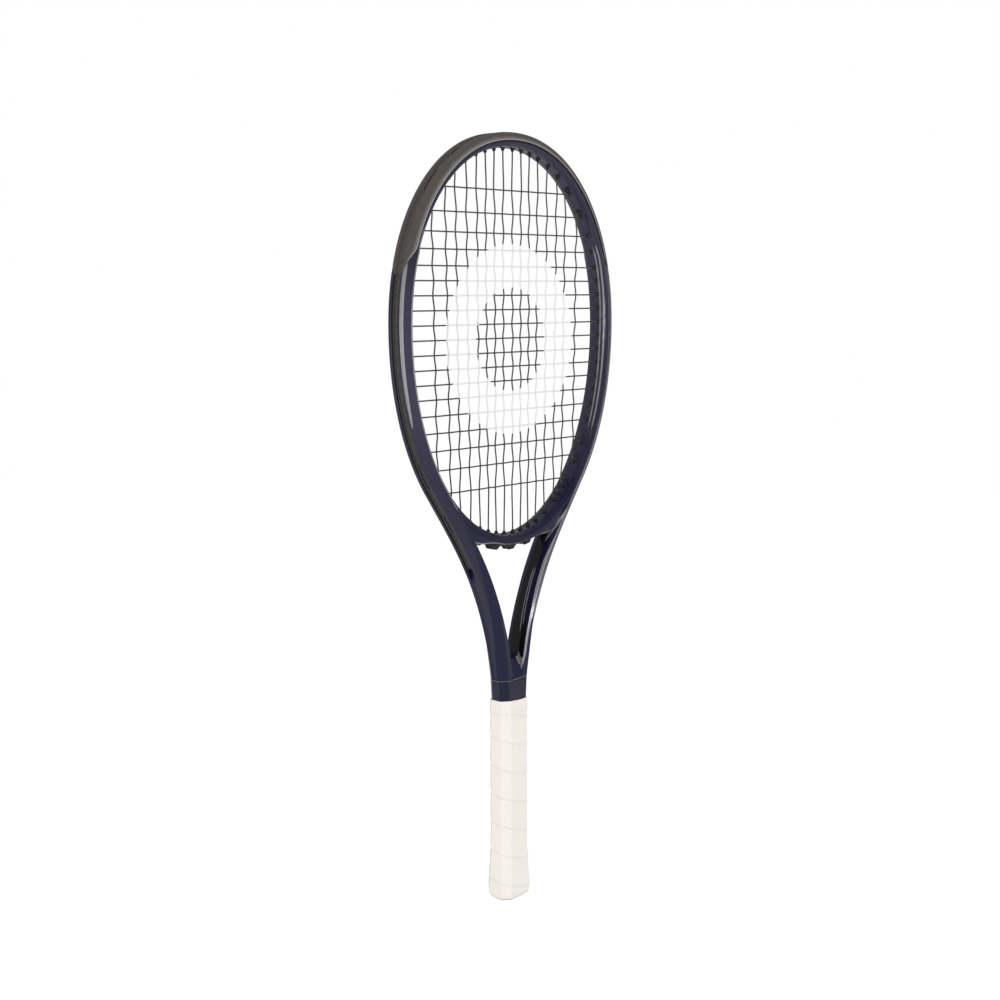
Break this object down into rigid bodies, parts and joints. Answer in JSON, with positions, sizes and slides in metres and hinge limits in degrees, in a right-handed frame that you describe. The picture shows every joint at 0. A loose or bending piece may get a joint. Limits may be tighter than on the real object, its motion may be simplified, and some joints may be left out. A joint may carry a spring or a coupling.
{
  "type": "tennis racket",
  "caption": "Adult tennis racket: hollow hairpin frame with open throat, bumper guard, woven string bed and a wrapped octagonal handle.",
  "frame": {"origin": "centre of the flat underside of the butt cap", "axes": "+Z from the butt up the handle to the head, +X across the head, +Y along the normal of the string bed"},
  "size_m": [0.2776, 0.029, 0.6858],
  "materials": {
    "frame_lacquer": "glossy navy lacquer over moulded carbon fibre, silver pinstripes",
    "guard_nylon": "matte dark grey-brown moulded nylon",
    "grommet_nylon": "satin black moulded nylon",
    "string": "dark multifilament string with a stencilled white ring",
    "handle_foam": "moulded foam, hidden under the grip",
    "cap_nylon": "matte grey moulded nylon",
    "staple_steel": "bright wire",
    "grip_wrap": "off-white synthetic grip, semi-gloss, wound in a helix",
    "finishing_tape": "off-white adhesive tape"
  },
  "bodies": {
    "root": {"frame_tube": "frame_lacquer", "throat_wedge": "frame_lacquer", "throat_bridge": "frame_lacquer", "handle_collar": "frame_lacquer", "bumper_guard": "guard_nylon", "grommet_strip_right": "grommet_nylon", "grommet_strip_left": "grommet_nylon", "grommet_strip_throat": "grommet_nylon", "main_string": "string", "cross_string": "string", "pallet_front": "handle_foam", "pallet_back": "handle_foam", "butt_cap": "cap_nylon", "butt_cap_door": "cap_nylon", "cap_staple_right": "staple_steel", "cap_staple_left": "staple_steel", "grip_wrap": "grip_wrap", "finishing_tape": "finishing_tape"}
  },
  "joints": []
}
